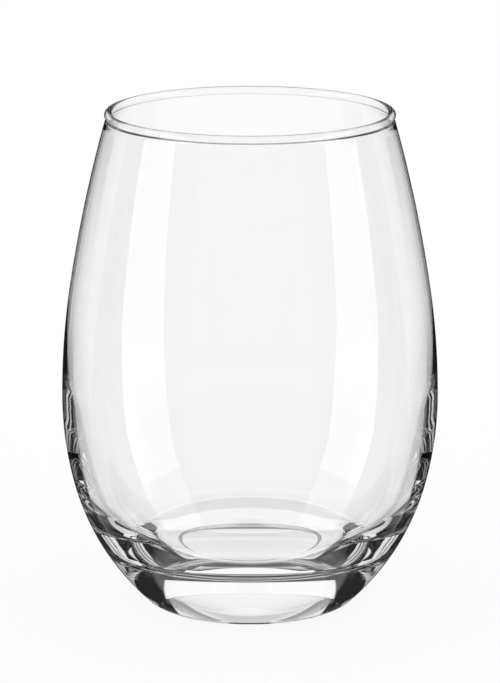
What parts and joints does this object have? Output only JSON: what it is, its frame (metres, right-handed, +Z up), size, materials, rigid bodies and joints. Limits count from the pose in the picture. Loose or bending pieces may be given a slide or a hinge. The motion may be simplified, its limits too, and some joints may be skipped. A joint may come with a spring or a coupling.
{
  "type": "stemless wine glass",
  "caption": "Stemless wine glass: a clear egg-shaped bowl that narrows to a rounded rim, its thin wall swelling into a thick, heavy base with a shallow hollow beneath.",
  "frame": {"origin": "centre of the ring that the glass stands on, on the table plane", "axes": "+Z up along the axis of the glass, about which it is round; X and Y lie on the table and are alike"},
  "size_m": [0.089, 0.089, 0.1185],
  "materials": {
    "clear_glass": "clear, fire-polished, smooth"
  },
  "bodies": {
    "root": {"glass": "clear_glass"}
  },
  "joints": []
}
